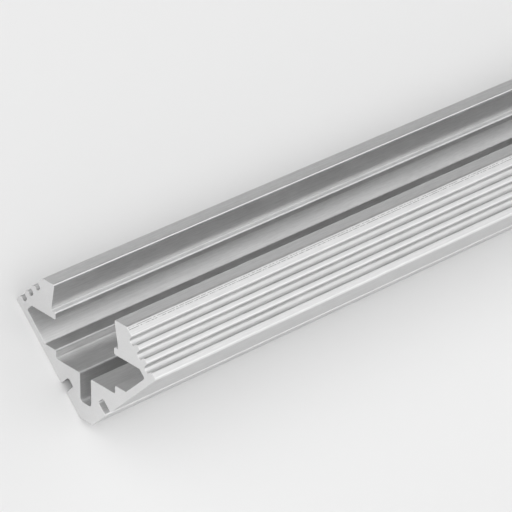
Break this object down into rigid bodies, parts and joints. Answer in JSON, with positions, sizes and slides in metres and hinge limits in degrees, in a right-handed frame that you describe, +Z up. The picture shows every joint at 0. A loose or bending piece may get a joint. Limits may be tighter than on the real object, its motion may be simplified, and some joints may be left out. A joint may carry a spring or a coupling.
{
  "type": "corner led strip profile",
  "caption": "Corner LED strip profile: anodised aluminium extrusion with two legs at a right angle, ribbed lips, a cover rebate and a strip seat that faces out at 45 degrees.",
  "frame": {"origin": "middle of the lying leg's mounting face, halfway along the stock, on the floor", "axes": "+X along the stock, +Z up from the lying leg's mounting face, +Y out of the upright leg's mounting face; light leaves between -Y and +Z"},
  "size_m": [0.5, 0.019, 0.019],
  "materials": {
    "anodised": "silver anodised, matt"
  },
  "bodies": {
    "root": {"profile": "anodised"}
  },
  "joints": []
}
